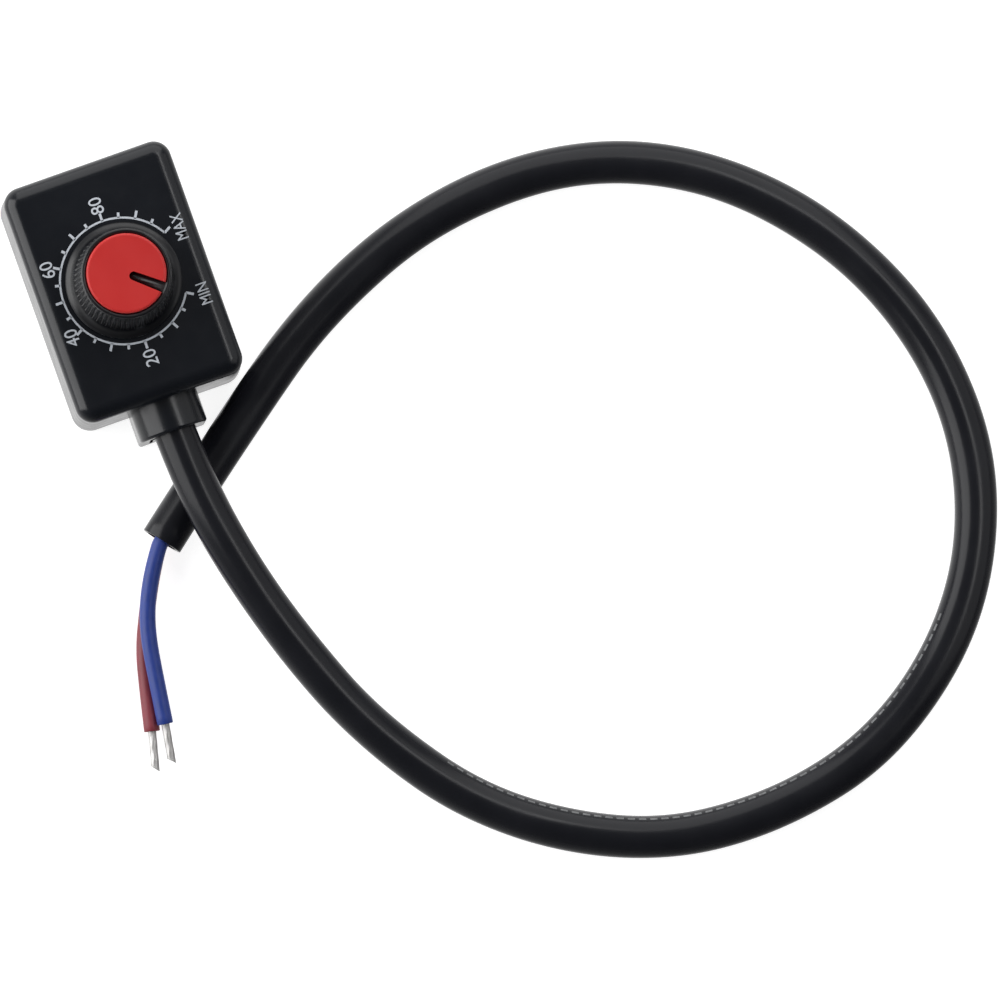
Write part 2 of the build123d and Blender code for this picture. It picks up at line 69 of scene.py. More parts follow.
class Body(Enum):
    """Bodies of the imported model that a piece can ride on."""

    HOUSING = "housing"
    KNOB = "knob"


class Slot(Enum):
    """Material slots of the record; the cores keep one each, but no piece is given it."""

    HOUSING = "housing"
    CORD = "cord_black"
    BLUE = "core_blue"
    RED = "core_red"
    TINNED = "tinned_copper"
    KNOB = "knob_black"


class Coords(Enum):
    """Coordinates that a pattern can follow."""

    OBJECT = "Object"
    SURFACE = "UV"


class Input(Enum):
    """Shader inputs that a finish, or the light of the room, feeds."""

    COLOUR = "Base Color"
    ROUGHNESS = "Roughness"
    NORMAL = "Normal"
    SPECULAR = "Specular IOR Level"
    METALLIC = "Metallic"
    SOFT_WEIGHT = "Subsurface Weight"
    SOFT_DEPTH = "Subsurface Scale"
    GLOW_COLOUR = "Emission Color"
    GLOW = "Emission Strength"
    ROOM_COLOUR = "Color"
    ROOM_STRENGTH = "Strength"


class Nodes:
    """Short way to lay out the nodes of one material or of the room's light."""

    def __init__(self, tree: bpy.types.NodeTree, shader: str) -> None:
        """Keep the tree and its shader."""
        self.tree = tree
        self.shader = tree.nodes[shader]

    def fill(self, socket: bpy.types.NodeSocket, value: Value) -> None:
        """Link a pattern to a socket, or set the socket to a plain value.

        Args:
            socket: the input that gets it.
            value: a pattern, or else a number, a colour or a vector.
        """
        if isinstance(value, bpy.types.NodeSocket):
            self.tree.links.new(value, socket)
        else:
            socket.default_value = value

    def feed(self, target: Input, value: Value) -> None:
        """Give one of the shader's inputs a pattern or a plain value."""
        self.fill(self.shader.inputs[target.value], value)

    def add(self, kind: str, inputs: dict[str | int, Value] | None = None,
            **settings: object) -> bpy.types.Node:
        """Add a node, set its properties and fill its inputs.

        Args:
            kind: Blender's name of the node's type.
            inputs: inputs, by name or number, and what each one gets.
            settings: properties of the node and their values.

        Returns:
            The new node.
        """
        node = self.tree.nodes.new(kind)
        for name, value in settings.items():
            setattr(node, name, value)
        for key, value in (inputs or {}).items():
            self.fill(node.inputs[key], value)
        return node

    def noise(self, size: float, detail: float, coords: Coords = Coords.OBJECT,
              stretch: Point = EVEN) -> bpy.types.NodeSocket:
        """Cloudy pattern.

        Args:
            size: width of its clouds in metres, or 1.0 where stretch alone sets it.
            detail: octaves of finer clouds in it.
            coords: coordinates that it follows.
            stretch: scale of the pattern along each axis.

        Returns:
            The pattern's value.
        """
        place = self.add("ShaderNodeTexCoord").outputs[coords.value]
        mapping = self.add("ShaderNodeMapping", {"Vector": place, "Scale": stretch})
        clouds = self.add("ShaderNodeTexNoise", {
            "Vector": mapping.outputs["Vector"], "Scale": 1.0 / size, "Detail": detail},
            noise_dimensions="3D")
        return clouds.outputs["Fac"]

    def calc(self, operation: str, *values: Value) -> bpy.types.NodeSocket:
        """Work out a value.

        Args:
            operation: Blender's name of the sum.
            values: patterns or numbers that it takes.

        Returns:
            The result.
        """
        inputs = dict(enumerate(values))
        return self.add("ShaderNodeMath", inputs, operation=operation).outputs["Value"]

    def spread(self, source: bpy.types.NodeSocket, low: float,
               high: float) -> bpy.types.NodeSocket:
        """Stretch a pattern's middle part to a range.

        Args:
            source: the pattern's value.
            low: result where the pattern is dark.
            high: result where it is light.

        Returns:
            The stretched value.
        """
        node = self.add("ShaderNodeMapRange", {
            "Value": source, "From Min": PATTERN_DARK, "From Max": PATTERN_LIGHT,
            "To Min": low, "To Max": high})
        return node.outputs["Result"]

    def tint(self, source: bpy.types.NodeSocket, dark: Colour,
             light: Colour) -> bpy.types.NodeSocket:
        """Colour a pattern from dark to light.

        Args:
            source: the pattern's value.
            dark: colour where the pattern is dark.
            light: colour where it is light.

        Returns:
            The colour.
        """
        node = self.add("ShaderNodeValToRGB", {"Fac": source})
        ends = ((PATTERN_DARK, dark), (PATTERN_LIGHT, light))
        for stop, (position, colour) in zip(node.color_ramp.elements, ends):
            stop.position = position
            stop.color = (*colour, 1.0)
        return node.outputs["Color"]

    def relief(self, source: bpy.types.NodeSocket, depth: float, strength: float,
               under: bpy.types.NodeSocket | None = None) -> bpy.types.NodeSocket:
        """Turn a pattern into relief.

        Args:
            source: the pattern's value.
            depth: height of the relief in metres.
            strength: share of it that shows.
            under: normal of a coarser relief that it lies on.

        Returns:
            The normal.
        """
        inputs = {"Height": source, "Distance": depth, "Strength": strength}
        if under is not None:
            inputs["Normal"] = under
        return self.add("ShaderNodeBump", inputs).outputs["Normal"]


@dataclass(frozen=True)
class Finish:
    """A surface's colour and gloss; each kind of surface adds its own pattern."""

    name: str
    dark: Colour
    light: Colour
    gloss_low: float
    gloss_high: float

    def material(self) -> bpy.types.Material:
        """Make the material, or give the one that was made before.

        Returns:
            The material.
        """
        found = bpy.data.materials.get(self.name)
        if found is not None:
            return found
        material = bpy.data.materials.new(self.name)
        material.use_nodes = True
        self.paint(Nodes(material.node_tree, "Principled BSDF"))
        return material

    def paint(self, nodes: Nodes) -> None:
        """Lay out the surface's nodes."""
        raise NotImplementedError

    def coat(self, nodes: Nodes, clouds: bpy.types.NodeSocket,
             gloss: bpy.types.NodeSocket) -> None:
        """Colour the surface after one pattern and gloss it after another.

        Args:
            nodes: the material's nodes.
            clouds: pattern of its colour.
            gloss: pattern of its roughness.
        """
        nodes.feed(Input.COLOUR, nodes.tint(clouds, self.dark, self.light))
        nodes.feed(Input.ROUGHNESS, nodes.spread(gloss, self.gloss_low, self.gloss_high))


@dataclass(frozen=True)
class MouldedPlastic(Finish):
    """Injection moulded plastic: fine grain of the tool, cloudy gloss and a little flow marking."""

    specular: float = 0.5
    flow: float = 7.0 * MM
    flow_stretch: Point = (1.0, 0.45, 1.0)
    sink_depth: float = 0.02 * MM
    sink_strength: float = 0.25
    handling: float = 2.6 * MM
    grain: float = 0.22 * MM
    grain_depth: float = 0.004 * MM
    grain_strength: float = 0.35

    def paint(self, nodes: Nodes) -> None:
        """Lay out grain, gloss clouds and colour clouds."""
        flow = nodes.noise(self.flow, detail=4.0, stretch=self.flow_stretch)
        handling = nodes.noise(self.handling, detail=5.0)
        grain = nodes.noise(self.grain, detail=2.0)
        self.coat(nodes, flow, handling)
        nodes.feed(Input.SPECULAR, self.specular)
        sink = nodes.relief(flow, self.sink_depth, self.sink_strength)
        nodes.feed(Input.NORMAL,
                   nodes.relief(grain, self.grain_depth, self.grain_strength, sink))


@dataclass(frozen=True)
class Sheath(Finish):
    """Extruded sheath: drawn lines along it, a fine dull grain and a worn row of printed dashes."""

    specular: float = 0.32
    ink: Colour = (0.2, 0.205, 0.21)
    mark_turn: float = 0.086
    mark_half_height: float = 0.011
    mark_pitch: float = 1.55 * MM
    mark_length: float = 1.0 * MM
    mark_middle: float = 106.0 * MM
    mark_reach: float = 41.0 * MM
    wear: float = 0.5 * MM
    worn_ink: float = 0.45
    drawn_scale: Point = (90.0, 9.0, 1.0)
    drawn_depth: float = 0.03 * MM
    drawn_strength: float = 0.2
    patch_scale: Point = (160.0, 2.5, 1.0)
    grain: float = 0.16 * MM
    grain_depth: float = 0.004 * MM
    grain_strength: float = 0.12

    def marks(self, nodes: Nodes) -> bpy.types.NodeSocket:
        """Lay out the row of dashes, worn thin in places.

        Args:
            nodes: the material's nodes.

        Returns:
            How much ink covers the sheath.
        """
        place = nodes.add("ShaderNodeTexCoord").outputs[Coords.SURFACE.value]
        split = nodes.add("ShaderNodeSeparateXYZ", {"Vector": place})
        along, turn = split.outputs["X"], split.outputs["Y"]
        row = nodes.calc("COMPARE", turn, self.mark_turn, self.mark_half_height)
        run = nodes.calc("COMPARE", along, self.mark_middle, self.mark_reach)
        step = nodes.calc("MODULO", along, self.mark_pitch)
        dash = nodes.calc("LESS_THAN", step, self.mark_length)
        worn = nodes.spread(nodes.noise(self.wear, detail=4.0), self.worn_ink, 1.0)
        return nodes.calc("MULTIPLY", nodes.calc("MULTIPLY", row, run),
                          nodes.calc("MULTIPLY", dash, worn))

    def paint(self, nodes: Nodes) -> None:
        """Lay out drawn lines, dull patches, grain and print on the sheath's own coordinates."""
        drawn = nodes.noise(1.0, detail=3.0, coords=Coords.SURFACE, stretch=self.drawn_scale)
        patches = nodes.noise(1.0, detail=4.0, coords=Coords.SURFACE, stretch=self.patch_scale)
        grain = nodes.noise(self.grain, detail=2.0)
        printed = nodes.add("ShaderNodeMix", {
            "Factor": self.marks(nodes), "A": nodes.tint(patches, self.dark, self.light),
            "B": (*self.ink, 1.0)}, data_type="RGBA")
        nodes.feed(Input.COLOUR, printed.outputs["Result"])
        nodes.feed(Input.ROUGHNESS, nodes.spread(patches, self.gloss_low, self.gloss_high))
        nodes.feed(Input.SPECULAR, self.specular)
        lines = nodes.relief(drawn, self.drawn_depth, self.drawn_strength)
        nodes.feed(Input.NORMAL,
                   nodes.relief(grain, self.grain_depth, self.grain_strength, lines))


@dataclass(frozen=True)
class Insulation(Finish):
    """Soft coloured insulation of a core, a little chalky from the talc under the sheath."""

    talc: float = 1.3 * MM
    drawn_scale: Point = (200.0, 7.0, 1.0)
    drawn_depth: float = 0.02 * MM
    drawn_strength: float = 0.3
    soft_weight: float = 0.08
    soft_depth: float = 0.4 * MM

    def paint(self, nodes: Nodes) -> None:
        """Lay out talc clouds, gloss and drawn lines."""
        talc = nodes.noise(self.talc, detail=5.0)
        drawn = nodes.noise(1.0, detail=2.0, coords=Coords.SURFACE, stretch=self.drawn_scale)
        self.coat(nodes, talc, talc)
        nodes.feed(Input.SOFT_WEIGHT, self.soft_weight)
        nodes.feed(Input.SOFT_DEPTH, self.soft_depth)
        nodes.feed(Input.NORMAL, nodes.relief(drawn, self.drawn_depth, self.drawn_strength))


@dataclass(frozen=True)
class Metal(Finish):
    """Bare or plated metal with the marks of its making."""

    grain: float = 0.3 * MM
    stretch: Point = EVEN
    grain_depth: float = 0.006 * MM
    grain_strength: float = 0.4
    tarnish: float = 1.6 * MM

    def paint(self, nodes: Nodes) -> None:
        """Lay out tarnish clouds, gloss and making marks."""
        tarnish = nodes.noise(self.tarnish, detail=5.0)
        marks = nodes.noise(self.grain, detail=3.0, stretch=self.stretch)
        self.coat(nodes, tarnish, marks)
        nodes.feed(Input.METALLIC, 1.0)
        nodes.feed(Input.NORMAL, nodes.relief(marks, self.grain_depth, self.grain_strength))


@dataclass(frozen=True)
class Ink(Finish):
    """Pad printed ink: thin, a little uneven, with a dull surface."""

    cover: float = 0.25 * MM
    cover_depth: float = 0.01 * MM
    cover_strength: float = 0.25

    def paint(self, nodes: Nodes) -> None:
        """Lay out uneven cover and dullness."""
        cover = nodes.noise(self.cover, detail=4.0)
        self.coat(nodes, cover, cover)
        nodes.feed(Input.NORMAL, nodes.relief(cover, self.cover_depth, self.cover_strength))


@dataclass(frozen=True)
class PaleFloor(Finish):
    """White table with a light under it."""

    glow: float = 0.86
    paper: float = 60.0 * MM
    specular: float = 0.1

    def paint(self, nodes: Nodes) -> None:
        """Lay out a matt white with its own light."""
        paper = nodes.noise(self.paper, detail=2.0)
        self.coat(nodes, paper, paper)
        nodes.feed(Input.SPECULAR, self.specular)
        nodes.feed(Input.GLOW_COLOUR, WHITE)
        nodes.feed(Input.GLOW, self.glow)


CASE_BLACK = MouldedPlastic(
    "case_black", (0.0058, 0.0072, 0.0106), (0.0076, 0.0092, 0.0132), 0.205, 0.265)
KNOB_BLACK = MouldedPlastic(
    "knob_satin", (0.0024, 0.0028, 0.0044), (0.0034, 0.0038, 0.0058), 0.285, 0.35, specular=0.6)
CAP_RED = MouldedPlastic(
    "cap_red", (0.58, 0.031, 0.03), (0.64, 0.039, 0.036), 0.3, 0.4, specular=0.3)
SHEATH_BLACK = Sheath(
    "sheath_black", (0.0092, 0.0098, 0.013), (0.012, 0.0126, 0.0164), 0.205, 0.265)
CORE_BLUE = Insulation("core_blue_skin", (0.018, 0.047, 0.265), (0.026, 0.058, 0.32), 0.36, 0.5)
CORE_RED = Insulation("core_red_skin", (0.22, 0.032, 0.046), (0.28, 0.043, 0.06), 0.36, 0.5)
TINNED = Metal(
    "tinned_strands", (0.56, 0.55, 0.54), (0.68, 0.67, 0.66), 0.42, 0.58, grain=0.12 * MM)
DIAL_INK = Ink("dial_ink", (0.58, 0.62, 0.68), (0.68, 0.72, 0.78), 0.45, 0.6)
NICKEL = Metal("nickel_plate", (0.5, 0.48, 0.43), (0.6, 0.57, 0.51), 0.2, 0.34)
STEEL = Metal("plain_steel", (0.46, 0.46, 0.47), (0.56, 0.56, 0.57), 0.24, 0.4,
              grain=0.2 * MM, stretch=(1.0, 6.0, 1.0))
SHAFT_ALLOY = Metal("turned_alloy", (0.58, 0.58, 0.59), (0.68, 0.68, 0.69), 0.25, 0.4,
                    grain=0.18 * MM, stretch=(1.0, 1.0, 9.0))
SOLDER = Metal(
    "bright_solder", (0.55, 0.55, 0.56), (0.66, 0.66, 0.67), 0.12, 0.25, grain=0.6 * MM)
BOARD = MouldedPlastic("brown_board", (0.2, 0.1, 0.045), (0.3, 0.16, 0.075), 0.45, 0.6)
ROTOR = MouldedPlastic("ivory_rotor", (0.55, 0.53, 0.46), (0.63, 0.61, 0.54), 0.4, 0.5)
FLOOR_WHITE = PaleFloor("floor_white", (0.6, 0.6, 0.6), (0.62, 0.62, 0.62), 0.7, 0.8)


def dress(names: tuple[str, ...], finish: Finish) -> None:
    """Give CAD nodes a finish.

    Args:
        names: the nodes.
        finish: the surface that they get.
    """
    for name in names:
        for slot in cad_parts[name].material_slots:
            slot.material = finish.material()
        log.info("%s: %s", name, finish.name)


def put(name: str, data: bpy.types.ID) -> bpy.types.Object:
    """Put a new object into the scene.

    Args:
        name: its name.
        data: its mesh, lamp or camera.

    Returns:
        The object.
    """
    made = bpy.data.objects.new(name, data)
    bpy.context.scene.collection.objects.link(made)
    return made


def make_piece(name: str, mesh_in: bmesh.types.BMesh, finish: Finish, body: Body) -> bpy.types.Object:
    """Turn a bmesh into a finished piece that rides on a body.

    Args:
        name: the piece's name.
        mesh_in: its shape, which is freed.
        finish: its surface.
        body: the body that it rides on.

    Returns:
        The new object.
    """
    mesh = bpy.data.meshes.new(name)
    mesh_in.to_mesh(mesh)
    mesh_in.free()
    mesh.shade_smooth()
    mesh.set_sharp_from_angle(angle=SHARP_EDGE)
    mesh.materials.append(finish.material())
    piece = put(name, mesh)
    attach(piece, body.value)
    log.info("%s: %d faces, %s", name, len(mesh.polygons), finish.name)
    return piece


def mesh_of(curve: bpy.types.Curve) -> bpy.types.Mesh:
    """Turn a spline or a text into a mesh and drop the curve.

    Args:
        curve: the spline or text.

    Returns:
        Its mesh.
    """
    holder = bpy.data.objects.new(curve.name, curve)
    mesh = bpy.data.meshes.new_from_object(holder)
    bpy.data.objects.remove(holder)
    bpy.data.curves.remove(curve)
    return mesh


def stations(line: list[Vector]) -> list[Matrix]:
    """Set a frame on each point of a line, turned as little as possible from one to the next.

    Args:
        line: the points.

    Returns:
        One matrix for each point, with its third axis along the line.
    """
    found: list[Matrix] = []
    last = len(line) - 1
    heading = (line[1] - line[0]).normalized()
    turn = heading.to_track_quat("Z", "Y")
    for index, place in enumerate(line):
        ahead = (line[min(index + 1, last)] - line[max(index - 1, 0)]).normalized()
        turn = heading.rotation_difference(ahead) @ turn
        heading = ahead
        found.append(Matrix.Translation(place) @ turn.to_matrix().to_4x4())
    return found


@dataclass
class Route:
    """Smooth line of a cord or core, as a spline on its control points in millimetres."""

    points: list[Point]
    steps: int
    order: int = 3

    def line(self) -> list[Vector]:
        """Read the points of the spline.

        Returns:
            Points along it in metres, from its start to its end.
        """
        curve = bpy.data.curves.new("route", "CURVE")
        curve.dimensions = "3D"
        curve.resolution_u = self.steps
        spline = curve.splines.new("NURBS")
        spline.points.add(len(self.points) - 1)
        for point, place in zip(spline.points, self.points):
            point.co = (place[0] * MM, place[1] * MM, place[2] * MM, 1.0)
        spline.order_u = self.order
        spline.use_endpoint_u = True
        mesh = mesh_of(curve)
        found = [vertex.co.copy() for vertex in mesh.vertices]
        bpy.data.meshes.remove(mesh)
        return found


@dataclass(frozen=True)
class CutEnd:
    """Profile of a cut tube.

    Each step is a distance past the end and one inwards: from the skin on the rim, from the
    hole's wall in the bore.
    """

    rim: Steps
    bore: Steps

    def steps(self, radius: float, hole: float) -> Steps:
        """Work out the profile's rings.

        Args:
            radius: the tube's radius.
            hole: the radius of its hole.

        Returns:
            Distance past the end and radius of each ring.
        """
        return (*((past, radius - inwards) for past, inwards in self.rim),
                *((past, hole - inwards) for past, inwards in self.bore))


@dataclass
class Tube:
    """Round skin drawn along a line, ring by ring, with coordinates along and around it."""

    line: list[Vector]
    radius: float
    sides: int
    twist_height: float = 0.0
    twist_pitch: float = 0.042
    twist_waves: int = 2
    frames: list[Matrix] = field(default_factory=list)
    rings: list[Ring] = field(default_factory=list)

    def travel(self) -> list[float]:
        """Measure along the line.

        Returns:
            Distance from its start to each of its points.
        """
        found = [0.0]
        for before, after in zip(self.line, self.line[1:]):
            found.append(found[-1] + (after - before).length)
        return found

    def draw(self, mesh: bmesh.types.BMesh) -> None:
        """Draw the skin into a bmesh.

        Args:
            mesh: the bmesh that gets it.
        """
        self.frames = stations(self.line)
        layers = mesh.verts.layers.float
        around = layers.get("around") or layers.new("around")
        ring = bmesh.ops.create_circle(mesh, segments=self.sides, radius=self.radius)["verts"]
        for vertex in ring:
            vertex[around] = math.atan2(vertex.co.y, vertex.co.x)
        bmesh.ops.transform(mesh, matrix=self.frames[0], verts=ring)
        self.rings = [ring]
        for before, after in zip(self.frames, self.frames[1:]):
            ring = self.extend(mesh, ring, after @ before.inverted())
            self.rings.append(ring)
        self.ripple(around)

    @staticmethod
    def rim(ring: Ring) -> list[bmesh.types.BMEdge]:
        """Find the edges that join a ring's own vertices."""
        edges = {edge for vertex in ring for edge in vertex.link_edges}
        return [edge for edge in edges if all(vertex in ring for vertex in edge.verts)]

    @staticmethod
    def extend(mesh: bmesh.types.BMesh, ring: Ring, move: Matrix) -> Ring:
        """Extrude an end ring and move the new one.

        Args:
            mesh: the bmesh.
            ring: vertices of the end ring.
            move: how the new ring stands to the old one.

        Returns:
            The new ring's vertices.
        """
        made = bmesh.ops.extrude_edge_only(mesh, edges=Tube.rim(ring))["geom"]
        new_ring = [item for item in made if isinstance(item, bmesh.types.BMVert)]
        bmesh.ops.transform(mesh, matrix=move, verts=new_ring)
        return new_ring

    def ripple(self, around: bmesh.types.BMLayerItem) -> None:
        """Let the twisted cores inside show as long low waves on the skin.

        Args:
            around: layer that holds each vertex's angle round the line.
        """
        if not self.twist_height:
            return
        for along, middle, ring in zip(self.travel(), self.line, self.rings):
            for vertex in ring:
                phase = vertex[around] - math.tau * along / self.twist_pitch
                swell = self.twist_height * math.cos(self.twist_waves * phase) / self.radius
                vertex.co = middle + (vertex.co - middle) * (1.0 + swell)

    def close(self, mesh: bmesh.types.BMesh, steps: Steps, at_start: bool = False) -> None:
        """Close an end of the skin with a turned profile.

        Args:
            mesh: the bmesh.
            steps: distance past the end and radius of each further ring, in metres.
            at_start: close the first ring, not the last.
        """
        end, side = (0, -1.0) if at_start else (-1, 1.0)
        ring, stand = self.rings[end], self.frames[end]
        past, radius = 0.0, self.radius
        for new_past, new_radius in steps:
            share = new_radius / radius
            shrink = Matrix.Diagonal((share, share, 1, 1))
            local = Matrix.Translation((0, 0, side * new_past)) @ shrink
            back = Matrix.Translation((0, 0, -side * past))
            ring = self.extend(mesh, ring, stand @ local @ back @ stand.inverted())
            past, radius = new_past, new_radius
        bmesh.ops.contextual_create(mesh, geom=self.rim(ring))

    def close_flat(self, mesh: bmesh.types.BMesh, at_start: bool = False) -> None:
        """Close an end of the skin with a flat face."""
        self.close(mesh, ((0.0, self.radius * FLAT_END_SHARE),), at_start)

    def unwrap(self, mesh: bmesh.types.BMesh) -> None:
        """Write coordinates in metres along the skin and in turns around it.

        Args:
            mesh: the bmesh that holds it.
        """
        around = mesh.verts.layers.float["around"]
        surface = mesh.loops.layers.uv.verify()
        travel = self.travel()
        along = {vertex: reach for reach, ring in zip(travel, self.rings) for vertex in ring}
        for face in mesh.faces:
            turns = [loop.vert[around] / math.tau for loop in face.loops]
            wraps = max(turns) - min(turns) > HALF_TURN
            for loop, turn in zip(face.loops, turns):
                wrapped = turn + 1.0 if wraps and turn < 0 else turn
                loop[surface].uv = (along.get(loop.vert, travel[-1]), wrapped)


@dataclass
class Housing:
    """Box, base cover and its screws."""

    moulded: tuple[str, ...] = ("upper_shell", "base_cover")
    fasteners: tuple[str, ...] = ("cover_screws",)

    def build(self) -> None:
        """Dress the box and its screws."""
        dress(self.moulded, CASE_BLACK)
        dress(self.fasteners, STEEL)


@dataclass
class Dial:
    """Printed scale on the box's face: an open ring, its ticks, figures and the two end words.

    Angles are in degrees. Each label or word comes with the place of its middle in millimetres.
    """

    level: float = 17.0 * MM
    thickness: float = 0.02 * MM
    sunk_share: float = 0.25
    ring_radius: float = 8.27 * MM
    ring_width: float = 0.26 * MM
    ring_steps: int = 150
    tick_width: float = 0.33 * MM
    long_tick: float = 1.05 * MM
    short_tick: float = 0.68 * MM
    first_angle: float = -30.0
    sweep: float = -300.0
    tick_count: int = 21
    figure_height: float = 1.72 * MM
    word_height: float = 1.5 * MM
    figure_narrow: float = 0.95
    word_narrow: float = 0.78
    text_turn: float = 90.0
    text_steps: int = 6
    text_weight: float = 0.004
    labels: tuple[tuple[str, float, float], ...] = (
        ("20", 0.0, -10.6), ("40", -8.8, -4.8), ("60", -8.9, 4.6), ("80", -0.1, 10.4))
    words: tuple[tuple[str, float, float], ...] = (("MIN", 9.35, -5.0), ("MAX", 9.2, 4.3))

    def build(self) -> list[bpy.types.Object]:
        """Print the ring, the ticks and the lettering.

        Returns:
            The printed pieces.
        """
        return [self.ring(), self.ticks(), self.lettering()]

    def ring(self) -> bpy.types.Object:
        """Spin the ring's line from one end of the scale to the other.

        Returns:
            The ring.
        """
        mesh = bmesh.new()
        start = Matrix.Rotation(math.radians(self.first_angle), 4, "Z")
        radii = [self.ring_radius + side * self.ring_width / 2 for side in (-1, 1)]
        corners = [mesh.verts.new(start @ Vector((radius, 0, self.level))) for radius in radii]
        edge = mesh.edges.new(corners)
        bmesh.ops.spin(mesh, geom=[*corners, edge], cent=(0, 0, 0), axis=(0, 0, 1),
                       angle=math.radians(self.sweep), steps=self.ring_steps, use_merge=False)
        return self.print_piece("dial_ring", mesh)

    def ticks(self) -> bpy.types.Object:
        """Lay a small bar at each step of the scale, every second one longer.

        Returns:
            The ticks.
        """
        mesh = bmesh.new()
        for index in range(self.tick_count):
            length = self.short_tick if index % 2 else self.long_tick
            turn = self.first_angle + self.sweep * index / (self.tick_count - 1)
            place = (Matrix.Rotation(math.radians(turn), 4, "Z")
                     @ Matrix.Translation((self.ring_radius + length / 2, 0, self.level))
                     @ Matrix.Diagonal((length, self.tick_width, 1, 1)))
            bmesh.ops.create_grid(mesh, x_segments=1, y_segments=1, size=HALF_UNIT, matrix=place)
        return self.print_piece("dial_ticks", mesh)

    def lettering(self) -> bpy.types.Object:
        """Set the figures and words, all read along the box.

        Returns:
            The lettering.
        """
        mesh = bmesh.new()
        for group, height, narrow in ((self.labels, self.figure_height, self.figure_narrow),
                                      (self.words, self.word_height, self.word_narrow)):
            for text, across, along in group:
                self.set_text(mesh, text, height, narrow, (across * MM, along * MM))
        return self.print_piece("dial_lettering", mesh)

    def set_text(self, mesh: bmesh.types.BMesh, text: str, height: float, narrow: float,
                 middle: tuple[float, float]) -> None:
        """Add one flat word.

        Args:
            mesh: the bmesh that gets it.
            text: the word.
            height: height of its capitals or figures.
            narrow: share of the letters' usual width.
            middle: place of its middle on the face.
        """
        curve = bpy.data.curves.new(text, "FONT")
        curve.body = text
        curve.size = 1.0
        curve.resolution_u = self.text_steps
        curve.offset = self.text_weight
        flat = mesh_of(curve)
        across = [vertex.co.x for vertex in flat.vertices]
        upward = [vertex.co.y for vertex in flat.vertices]
        scale = height / (max(upward) - min(upward))
        centre = Vector(((max(across) + min(across)) / 2, (max(upward) + min(upward)) / 2, 0))
        flat.transform(Matrix.Translation((*middle, self.level))
                       @ Matrix.Rotation(math.radians(self.text_turn), 4, "Z")
                       @ Matrix.Diagonal((scale * narrow, scale, scale, 1))
                       @ Matrix.Translation(-centre))
        mesh.from_mesh(flat)
        bpy.data.meshes.remove(flat)

    def print_piece(self, name: str, mesh: bmesh.types.BMesh) -> bpy.types.Object:
        """Give flat print its thickness, a part of it sunk into the face.

        Args:
            name: the piece's name.
            mesh: its flat shape.

        Returns:
            The printed piece.
        """
        bmesh.ops.recalc_face_normals(mesh, faces=mesh.faces)
        made = bmesh.ops.extrude_face_region(mesh, geom=mesh.faces[:], use_keep_orig=True)["geom"]
        raised = [item for item in made if isinstance(item, bmesh.types.BMVert)]
        bmesh.ops.translate(mesh, verts=raised, vec=(0, 0, self.thickness))
        bmesh.ops.translate(mesh, verts=mesh.verts, vec=(0, 0, -self.thickness * self.sunk_share))
        bmesh.ops.recalc_face_normals(mesh, faces=mesh.faces)
        return make_piece(name, mesh, DIAL_INK, Body.HOUSING)


@dataclass(frozen=True)
class Flare:
    """Hollow curve of a skirt, from its outer edge up to the foot of the cone above it.

    The edge is a radius and a height. The tilts, in degrees, are those of the curve's radius.
    """

    edge: tuple[float, float]
    foot_radius: float
    edge_tilt: float
    foot_tilt: float

    @property
    def radius(self) -> float:
        """Radius of the curve, from how far it turns and how far it comes in."""
        turn_in = math.cos(math.radians(self.foot_tilt)) - math.cos(math.radians(self.edge_tilt))
        return (self.edge[0] - self.foot_radius) / turn_in

    @property
    def middle(self) -> tuple[float, float]:
        """Middle of the curve, out beyond the edge."""
        tilt, radius = math.radians(self.edge_tilt), self.radius
        return self.edge[0] + radius * math.cos(tilt), self.edge[1] + radius * math.sin(tilt)

    def share(self, out: float, height: float) -> tuple[float, float]:
        """Find where a point lies on the curve.

        Args:
            out: its distance from the axis.
            height: its height.

        Returns:
            Share of the way from edge to foot, and depth under the curve.
        """
        across, up = self.middle[0] - out, self.middle[1] - height
        tilt = math.degrees(math.atan2(up, across))
        share = (self.edge_tilt - tilt) / (self.edge_tilt - self.foot_tilt)
        return min(1.0, max(0.0, share)), math.hypot(across, up) - self.radius

    def place(self, share: float, depth: float) -> tuple[float, float]:
        """Find the point at a share of the curve.

        Args:
            share: share of the way from edge to foot.
            depth: depth under the curve.

        Returns:
            Its distance from the axis and its height.
        """
        tilt = math.radians(self.edge_tilt + share * (self.foot_tilt - self.edge_tilt))
        reach = self.radius + depth
        return self.middle[0] - reach * math.cos(tilt), self.middle[1] - reach * math.sin(tilt)


